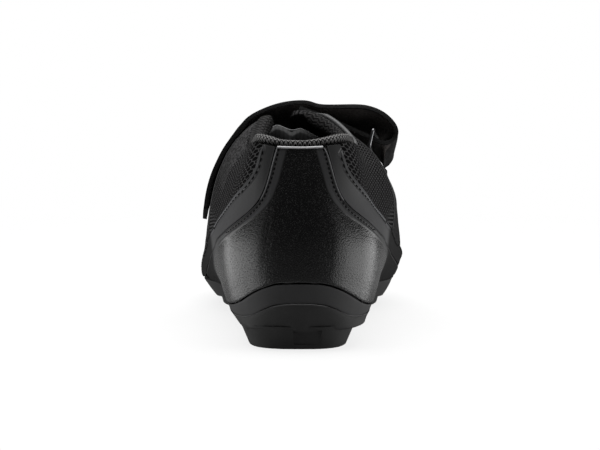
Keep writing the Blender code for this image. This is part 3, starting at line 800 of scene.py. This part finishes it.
edges = {}
for node, name in (("stripe_lateral", "lateral_stripe"), ("stripe_medial", "medial_stripe")):
    stripe = copy_of(node, name)
    outer, inner = halves(border(stripe), down_the_stripe)
    outer = outer[outer[:, 2] < outer[:, 2].max() - STRIPE_TOP]
    refine(stripe, 3, PANEL_BEVEL, fit=2)
    points = points_of(stripe)
    rim, seam = (distance_to(points, even(line, FINE_STEP)) for line in (outer, inner))
    write_measures(stripe, rim=rim, seam=seam, height=points[:, 2], ahead=past_the_heel(points))
    hand_over(stripe, node, stripe_leather)
    edges[node] = stripe, outer, inner

counter = copy_of("heel_counter", "heel_counter_leather")
counter_border = border(counter)
counter_top, counter_foot = halves(counter_border, along_the_wall)
refine(counter, 3, PANEL_BEVEL, fit=1)
closed = even(np.r_[counter_border, counter_border[:1]], SEAM_STEP)
inside = np.flatnonzero(distance_to(points_of(counter), closed) > FIELD_INSET)
field = counter.vertex_groups.new(name="field")
field.add(inside.tolist(), 1.0, "REPLACE")
apply(counter, "SMOOTH", factor=0.5, iterations=30, vertex_group="field")
points = points_of(counter)
beside = np.concatenate([even(inner, FINE_STEP) for _, _, inner in edges.values()])
seam = distance_to(points, beside)
write_measures(counter, seam=seam, height=points[:, 2], ahead=past_the_heel(points))
hand_over(counter, "heel_counter", leather)

band = copy_of("heel_band", "heel_band_rubber")
refine(band, 2, 0.2 * MM, fit=2)
hand_over(band, "heel_band", band_rubber)

# %% [markdown]
# ## Stitches
# Each seam is closed by a row of black thread. One stitch is modelled once, as a short thread that
# dips into the leather at both ends, and copied along a line beside the border. Bump would do from
# afar, but modelled thread also throws small shadows.

# %% One stitch
STITCH_THICK = 0.6 * MM
STITCH_DIP = 1.6
STITCH_LIFT = 0.15
STITCH_SHARE = 0.72
SORT_DIGITS = 7


def one_stitch(long):
    """Points and faces of one stitch, lying along X and standing on Z = 0."""
    bpy.ops.object.select_all(action="DESELECT")
    bpy.ops.mesh.primitive_uv_sphere_add(segments=6, ring_count=5, radius=0.5, location=(0, 0, 0))
    made = bpy.context.object
    bpy.ops.object.mode_set(mode="EDIT")
    bpy.ops.mesh.select_all(action="SELECT")
    bpy.ops.transform.rotate(value=math.pi / 2, orient_axis="Y", center_override=(0, 0, 0))
    bpy.ops.transform.resize(value=(long, STITCH_THICK, STITCH_THICK), center_override=(0, 0, 0))
    bpy.ops.object.mode_set(mode="OBJECT")
    points = points_of(made)
    points[:, 2] -= (points[:, 0] / long) ** 2 * STITCH_THICK * STITCH_DIP
    # Blender lists a new ball's faces in another order each run, so they are sorted.
    order = np.lexsort(points.round(SORT_DIGITS).T)
    number = np.argsort(order).tolist()
    faces = []
    for face in made.data.polygons:
        corners = [number[k] for k in face.vertices]
        first = corners.index(min(corners))
        faces.append(tuple(corners[first:] + corners[:first]))
    bpy.data.objects.remove(made, do_unlink=True)
    return points[order], sorted(faces)


def sew(name, line, normals, pitch, node):
    """One object with a stitch at each step of a line that has its normals."""
    shape, faces = one_stitch(pitch * STITCH_SHARE)
    run = run_of(line)
    at = np.arange(pitch / 2, run[-1], pitch)
    rows = [read_at(at, run, values) for values in (line, normals, np.gradient(line, axis=0))]
    points, polygons = [], []
    for place, up, way in zip(*rows):
        up = up / np.linalg.norm(up)
        way = way - up * way.dot(up)
        way = way / np.linalg.norm(way)
        polygons += [tuple(len(points) + k for k in face) for face in faces]
        turned = shape @ np.stack([way, np.cross(up, way), up])
        points += list(turned + place + up * STITCH_THICK * STITCH_LIFT)
    mesh = bpy.data.meshes.new(name)
    mesh.from_pydata(points, [], polygons)
    mesh.shade_smooth()
    mesh.materials.append(thread)
    made = bpy.data.objects.new(name, mesh)
    bpy.context.scene.collection.objects.link(made)
    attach(made, "root")
    print(name, "has", len(at), "stitches")


print("thread of", STITCH_THICK / MM, "mm")

# %% Rows of stitches
ROW_STEP = 2.0 * MM
MARGIN_PITCH, SEAM_PITCH = 2.9 * MM, 2.0 * MM
FACES_OUT = 0.3
HEEL_MIDDLE = np.array([[0, -0.14, 0.05]])


def surface_of(piece):
    """The faces of a piece that look away from the foot, as a tree that finds nearest points."""
    middles = np.array([face.center for face in piece.data.polygons])
    normals = np.array([face.normal for face in piece.data.polygons])
    facing = np.einsum("ij,ij->i", normals, outward(middles)) > FACES_OUT
    faces = [face.vertices for face, seen in zip(piece.data.polygons, facing) if seen]
    return BVHTree.FromPolygons([v.co for v in piece.data.vertices], faces)


def beside_line(line, towards, inset, tree):
    """A line moved over a surface to the side where some points lie, with the surface's normals."""
    moved, normals = [], []
    for place, way in zip(line, np.gradient(line, axis=0)):
        _, normal, _, _ = tree.find_nearest(place)
        aside = normal.cross(Vector(way)).normalized()
        nearest = towards[np.argmin(np.linalg.norm(towards - place, axis=1))]
        if aside.dot(Vector(nearest) - Vector(place)) < 0:
            aside.negate()
        hit, normal, _, _ = tree.find_nearest(Vector(place) + aside * inset)
        moved.append(hit)
        normals.append(normal)
    return np.array(moved), np.array(normals)


counter_surface = surface_of(counter)
for node, (stripe, outer, inner) in edges.items():
    margin = beside_line(even(outer, ROW_STEP), inner, STITCH_INSET * MM, surface_of(stripe))
    sew(node + "_stitches", *margin, MARGIN_PITCH, node)
    seam = beside_line(even(inner, ROW_STEP), HEEL_MIDDLE, STITCH_INSET * MM, counter_surface)
    sew(node + "_seam_stitches", *seam, SEAM_PITCH, "heel_counter")

# %% [markdown]
# ## Folded edges
# Where the leather is turned over, its fold catches the light, and a pale cord paints that highlight
# in: a thin line along both side edges of the counter above the flanks, and brightest, a painted glint,
# along its top edge. Lower down the same seams are dark cords. A line of points is drawn as a curve,
# given a round section and turned into a mesh.

# %% Folded edges
FOLD_LIT_ABOVE = 0.063
TOP_GLINT_ABOVE = 0.078
TOP_APART = 1.2 * MM
FOOT_BEHIND = -0.02
TAIL_THIN = 0.25


def piping(name, line, radius, material, tail=0):
    """A round cord sewn along a line; a tail thins it towards its ends."""
    curve = bpy.data.curves.new(name, "CURVE")
    curve.dimensions = "3D"
    curve.bevel_depth = radius
    curve.bevel_resolution = 2
    curve.use_fill_caps = True
    spline = curve.splines.new("POLY")
    spline.points.add(len(line) - 1)
    spline.points.foreach_set("co", np.c_[line, np.ones(len(line))].ravel())
    if tail:
        run = run_of(line)
        from_end = np.minimum(run, run[-1] - run)
        spline.points.foreach_set("radius", np.clip(from_end / tail, TAIL_THIN, 1))
    made = bpy.data.objects.new(name, curve)
    bpy.context.scene.collection.objects.link(made)
    pick(made)
    bpy.ops.object.convert(target="MESH")
    made = bpy.context.object
    made.data.materials.clear()
    made.data.materials.append(material)
    bpy.ops.object.shade_smooth()
    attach(made, "root")
    print(name, "runs along", len(line), "points")


def on_counter(line, lift=0.0):
    """The line moved to the nearest points of the counter and a little above it."""
    hits = [counter_surface.find_nearest(Vector(place)) for place in line]
    return np.array([hit + normal * lift for hit, normal, _, _ in hits])


for node, (stripe, outer, inner) in edges.items():
    seam = even(inner, SEAM_STEP)
    # Above the flanks the fold is a pale cord, a painted highlight; lower down it is a dark cord.
    fold, lower = seam[seam[:, 2] > FOLD_LIT_ABOVE], seam[seam[:, 2] <= FOLD_LIT_ABOVE + SEAM_STEP]
    piping(node + "_fold", on_counter(fold, 0.15 * MM), 0.3 * MM, painted_highlight_tape)
    piping(node + "_seam", on_counter(lower), 0.3 * MM, seam_tape)
apart = distance_to(counter_top, beside)
top = even(counter_top[(apart > TOP_APART) & (counter_top[:, 2] > TOP_GLINT_ABOVE)], SEAM_STEP)
# The top fold is a near-white cord, a painted glint.
piping("counter_top_fold", on_counter(top, 0.1 * MM), 0.45 * MM, painted_glint_tape)
foot = even(counter_foot[counter_foot[:, 1] < FOOT_BEHIND], 1.0 * MM)
piping("counter_foot_seam", on_counter(foot), 0.15 * MM, seam_tape)

# %% [markdown]
# ## Stuffing
# The collar is a foam roll in zigzag knit, and the tongue is a thin pad. Sculpting could make them
# plump, but stuffed cloth finds its own form. So both are blown up a little by a cloth simulation with
# pressure inside, at ten times their size because cloth is meant for metres. A cap keeps each point
# near the solid, and a subdivision surface smooths the result.

# %% Stuffing
BLOW_SCALE = 10.0
BLOW_FRAMES = 16
BLOW_PRESSURE = 6.0


def plump(piece, cap):
    """Blows up a soft piece by cloth pressure; no point moves farther than the cap."""
    rest = points_of(piece)
    set_points(piece, rest * BLOW_SCALE)
    cloth = piece.modifiers.new("stuffing", "CLOTH")
    cloth.settings.mass = 0.05
    cloth.settings.quality = 6
    cloth.settings.use_pressure = True
    cloth.settings.uniform_pressure_force = BLOW_PRESSURE
    cloth.settings.effector_weights.gravity = 0
    scene = bpy.context.scene
    for moment in range(1, BLOW_FRAMES + 1):
        scene.frame_set(moment)
    shown = piece.evaluated_get(bpy.context.evaluated_depsgraph_get())
    moved = points_of(shown) / BLOW_SCALE - rest
    piece.modifiers.remove(cloth)
    scene.frame_set(1)
    far = np.linalg.norm(moved, axis=1, keepdims=True)
    set_points(piece, rest + moved * np.minimum(1, cap / np.maximum(far, TINY)))
    print(piece.name, "swelled by", round(float(far.mean()) / MM, 2), "mm on average before the cap")


def stuffed(node, name, cap):
    """A soft copy of a solid, blown up and rounded."""
    piece = copy_of(node, name, creased=False)
    apply(piece, "SUBSURF", levels=1, render_levels=1)
    plump(piece, cap)
    refine(piece, 2)
    return piece


print("soft pieces swell for", BLOW_FRAMES, "frames")

# %% [markdown]
# ## Collar
# The solid gives the roll. Its lateral end is a fuller mound in the picture, so that end is stretched
# upward and pushed in over the opening. Where the roll would touch the wall it is pressed back. The
# zigzag rows follow the roll, so its map is the run along the collar and the turn about its middle.

# %% Collar
COLLAR_BACK = -0.108
STATION = 4.0 * MM
ROLL_RADIUS = 0.005
ROLL_SEAM = -2.0
MOUND_GROWS = (-0.074, -0.054)
MOUND_RISE = 0.15
MOUND_IN = 2.2 * MM
NEAR_ENOUGH = 2.0 * MM


def keep_clear(piece, neighbour, gap):
    """Presses a soft piece in where it would touch a neighbour."""
    faces = [face.vertices for face in neighbour.data.polygons]
    tree = BVHTree.FromPolygons([v.co for v in neighbour.data.vertices], faces)
    for v in piece.data.vertices:
        hit, normal, _, _ = tree.find_nearest(v.co, NEAR_ENOUGH)
        if hit and (v.co - hit).dot(normal) < gap:
            v.co = hit + normal * gap
    piece.data.update()


def by_station(values, summary):
    """A summary of the values round each station of the collar, read back at its points."""
    return np.interp(run, stations, [summary(values[near]) for near in there])


collar = stuffed("collar", "knit_collar", cap=0.35 * MM)
points = points_of(collar)
x, y, z = points.T
run = along_the_wall(points)
radius = np.hypot(x, np.minimum(y - HEEL_TURN_Y, 0))
stations = np.arange(run.min(), run.max(), STATION)
there = [np.abs(run - place) < STATION for place in stations]
height = z - by_station(z, np.min)
mound = fade(y, *MOUND_GROWS) * (x < 0)
inner_half = fade(x - by_station(x, np.mean), 0, 2.0 * MM)
x += MOUND_IN * mound * inner_half * fade(height, 4.0 * MM, 7.0 * MM)
z += MOUND_RISE * mound * height
set_points(collar, points)
keep_clear(collar, upper, gap=0.5 * MM)
turn = np.arctan2(z - by_station(z, np.mean), radius - by_station(radius, np.mean))
write_flat(collar, run, ROLL_RADIUS * np.where(turn < ROLL_SEAM, turn + 2 * np.pi, turn))
write_measures(collar, ahead=y - COLLAR_BACK)
hand_over(collar, "collar", knit)

# %% [markdown]
# ## Tongue
# The top edge of the tongue has two soft lobes with a notch between them. They could be sculpted, but
# a table of heights across the tongue is easy to check. They fade out towards the front, and the
# underside is drawn down a little under them, so that the edge looks as thick as padding.

# %% Tongue
TONGUE_DEEPER = 3.5 * MM
TONGUE_LOBES = (
    (-19, 0.5), (-16.1, 2.4), (-11.6, 3.4), (-8.8, 1.8), (-4.8, -1.6),
    (-1, 0.4), (5.8, -0.6), (10, 0.0), (14, 0.0),
)
LOBES_GROW = (-0.008, -0.024)
LOOKS_DOWN = -0.1

tongue = stuffed("tongue", "tongue_pad", cap=0.3 * MM)
tongue_points = points_of(tongue)
x, y, z = tongue_points.T
at_edge = fade(y, *LOBES_GROW)
below = np.array([v.normal.z for v in tongue.data.vertices]) < LOOKS_DOWN
z += np.interp(x, *np.array(TONGUE_LOBES).T * MM) * at_edge
z -= TONGUE_DEEPER * at_edge * below
set_points(tongue, tongue_points)
write_flat(tongue, x, y)
hand_over(tongue, "tongue", lining)

# %% [markdown]
# ## Seams and bindings of the upper
# A cord covers the seam between mesh and felt on each side of the ankle. The seam is a table, so rays
# shot at the wall at its heights find where the cord lies. The medial edge of the throat and the edge
# of the tongue are bound with tape, which follows the highest points there.

# %% Seams and bindings of the upper
ANKLE_HEIGHTS = np.arange(0.042, 0.084, 0.0008)
ANKLE_OUT = 0.08
ANKLE_LIFT = 0.1 * MM
THROAT_REAR, THROAT_FRONT = -0.064, -0.033
THROAT_MEDIAL = 0.006
BINDING_OUT = np.array([0.3, 0, 0.4]) * MM
TONGUE_EDGE_REAR = -0.02


def crest(points, axis, start, stop, step, height):
    """The highest points in steps along an axis, as a line smoothed a little."""
    line = []
    for low in np.arange(start, stop, step):
        there = points[(points[:, axis] >= low) & (points[:, axis] < low + step)]
        if len(there):
            line.append(there[np.argmax(there @ np.array(height))])
    line = np.array(line)
    for _ in range(2):
        line[1:-1] = (line[:-2] + 2 * line[1:-1] + line[2:]) / 4
    return even(line, 0.6 * MM)


wall = surface_of(upper)
for name, side in (("lateral", -1), ("medial", 1)):
    starts = [Vector((side * ANKLE_OUT, float(panel_seam(name, high)), high)) for high in ANKLE_HEIGHTS]
    hits = [wall.ray_cast(start, Vector((-side, 0, 0))) for start in starts]
    seam = np.array([hit + normal * ANKLE_LIFT for hit, normal, _, _ in hits if hit])
    piping(name + "_ankle_seam", seam, 0.3 * MM, tape)

points = points_of(upper)
x, y, _ = points.T
throat = points[(x > THROAT_MEDIAL) & (y > THROAT_REAR) & (y < THROAT_FRONT)]
binding = crest(throat, 1, THROAT_REAR, THROAT_FRONT, 2.0 * MM, (0.35, 0, 1))
for k in (0, 2):
    binding[:, k] = np.polyval(np.polyfit(binding[:, 1], binding[:, k], 3), binding[:, 1])
piping("medial_binding", binding + BINDING_OUT, 1.2 * MM, tape, tail=6.0 * MM)
rear = tongue_points[tongue_points[:, 1] < TONGUE_EDGE_REAR]
tongue_edge = crest(rear, 0, -0.017, 0.011, 1.2 * MM, (0, 0, 1))
# The tongue's binding is the pale tape: a painted highlight along its top edge.
piping("tongue_binding", tongue_edge, 0.38 * MM, painted_highlight_tape)

# %% [markdown]
# ## Strap
# The strap is flat webbing, so its solid already has nearly the right form. Real webbing is softer:
# it settles on the lateral side, the front edge of its loop sags, and the turn of the loop tapers. A
# cloth simulation could find that, but small tables keep it where it is seen. The weave turns with the
# loop, so its run is measured as the shortest way over the mesh from the free end.

# %% Settling the strap
STRAP_SETTLES = ((-31, 0), (-28.5, 0.9), (-25.5, 3.0), (-22, 2.8), (-18, 0.9), (-15, 0))
LOOP_SAGS = ((35.6, 0), (37, 1.3), (38, 1.3), (39, 1), (40.5, 0.4), (43, 0))
LOOP_SLACK = 4.6 * MM
LOOP_REAR = -0.029
LOOP_WIDTH = 0.022
LOOP_TILT = 0.34
BETWEEN_LAYERS = (0.0895, 0.0865)
LOOP_TAPER = 2.0 * MM
TAPER_OUT, TAPER_DOWN = (0.037, 0.040), (0.084, 0.074)


def slacken(piece):
    """Lets the strap settle on the lateral side, the loop's front edge sag and its turn taper."""
    points = points_of(piece)
    x, y, z = points.T
    front = y - LOOP_REAR
    lower = fade(z + LOOP_TILT * front, *BETWEEN_LAYERS)
    places, sags = np.array(LOOP_SAGS).T
    sag = LOOP_SLACK * np.interp(x, places * MM, sags) * lower * fade(front, 0, LOOP_WIDTH)
    settled = np.interp(x, *np.array(STRAP_SETTLES).T * MM)
    inward = LOOP_TAPER * fade(x, *TAPER_OUT) * fade(z, *TAPER_DOWN)
    set_points(piece, points - np.stack([inward, 0 * y, sag + settled], axis=1))


strap = copy_of("instep_strap", "strap_webbing")
slacken(strap)
print("strap settled,", len(strap.data.vertices), "points before rounding")

# %% Weave of the strap
FREE_END_LEFT, FREE_END_DOWN = -0.03, -0.6
STRAP_SLOPE = 1.12
FOOT_MIDDLE = np.array([0.0, -0.03, 0.05])
FACES_FOOT = (0.0075, 0.010)


def run_from(piece, starts):
    """Shortest way over the mesh from some points to every point."""
    points = points_of(piece)
    near = [[] for _ in points]
    for edge in piece.data.edges:
        a, b = edge.vertices
        gap = float(np.linalg.norm(points[a] - points[b]))
        near[a].append((b, gap))
        near[b].append((a, gap))
    run = np.full(len(points), np.inf)
    heap = [(0.0, k) for k in starts]
    run[list(starts)] = 0
    while heap:
        far, k = heapq.heappop(heap)
        if far > run[k]:
            continue
        for other, gap in near[k]:
            if far + gap < run[other]:
                run[other] = far + gap
                heapq.heappush(heap, (far + gap, other))
    return run


def real_edges(piece):
    """Points along the creased edges of a piece."""
    points = points_of(piece)
    crease = piece.data.attributes["crease_edge"].data
    real = [edge for edge in piece.data.edges if crease[edge.index].value > CREASED]
    return np.concatenate([even(points[list(edge.vertices)], 0.5 * MM) for edge in real])


strap_edges = real_edges(strap)
refine(strap, 3, 0.3 * MM, fit=2)
points = points_of(strap)
normals = np.array([v.normal for v in strap.data.vertices])
free_end = np.flatnonzero((normals[:, 2] < FREE_END_DOWN) & (points[:, 0] < FREE_END_LEFT))
write_flat(strap, run_from(strap, free_end.tolist()), points[:, 1] * STRAP_SLOPE)
# Faces turned to the foot get the paler inside colour, partly painted light.
facing = np.einsum("ij,ij->i", normals, FOOT_MIDDLE - points)
inside = fade(facing, *FACES_FOOT)
write_measures(strap, edge=distance_to(points, strap_edges), inner=inside)
hand_over(strap, "instep_strap", weave)

# %% [markdown]
# ## Ring and tab
# The ring is round wire, with no edges to crease. A short tab, woven as the strap is, holds it.

# %% Ring and tab
ring = copy_of("strap_ring", "wire_ring", creased=False)
refine(ring, 2, fit=2)
hand_over(ring, "strap_ring", steel)

tab = copy_of("ring_tab", "tab_webbing")
tab_edges = real_edges(tab)
refine(tab, 2, 0.2 * MM, fit=2)
points = points_of(tab)
write_flat(tab, points[:, 2], points[:, 1])
write_measures(tab, edge=distance_to(points, tab_edges))
hand_over(tab, "ring_tab", weave)

# %% [markdown]
# ## Sole
# The plate and its two pads are moulded, with small round edges. The rear of the heel pad is spread
# and raised to close up to the plate, so that the heel reads as one block, and a thin bead runs along
# the plate's lip. The insole only shows from above.

# %% Sole
PAD_TOP = 0.0066
PAD_MIDDLE_X, PAD_TURN_Y = -0.002, -0.100
PAD_CLOSES = (-0.085, -0.115)
PAD_WIDENS, PAD_LENGTHENS, PAD_RISES = 0.10, 0.20, 3.6 * MM
LIP_FRONT, LIP_LOW = -0.085, 0.011

plate = copy_of("outsole", "sole_plate")
refine(plate, 2, 0.4 * MM)
hand_over(plate, "outsole", plate_plastic)

heel_pad = copy_of("heel_pad", "heel_pad_rubber")
points = points_of(heel_pad)
x, y, z = points.T
closing = fade(y, *PAD_CLOSES) * z / PAD_TOP
x += (x - PAD_MIDDLE_X) * PAD_WIDENS * closing
y += np.minimum(y - PAD_TURN_Y, 0) * PAD_LENGTHENS * closing
z += PAD_RISES * closing
set_points(heel_pad, points)
toe_pad = copy_of("toe_pad", "toe_pad_rubber")
for pad, node in ((heel_pad, "heel_pad"), (toe_pad, "toe_pad")):
    refine(pad, 2, 0.5 * MM)
    hand_over(pad, node, pad_rubber)

points = points_of(plate)
lip = points[(points[:, 1] < LIP_FRONT) & (points[:, 2] > LIP_LOW)]
bead = crest(lip, 0, -0.031, 0.029, 2.0 * MM, (0, -0.3, 1))
piping("sole_bead", bead, 0.35 * MM, tape)

footbed = copy_of("insole", "footbed_cloth")
refine(footbed, 2, 0.3 * MM)
points = points_of(footbed)
write_flat(footbed, points[:, 0], points[:, 1])
hand_over(footbed, "insole", lining)
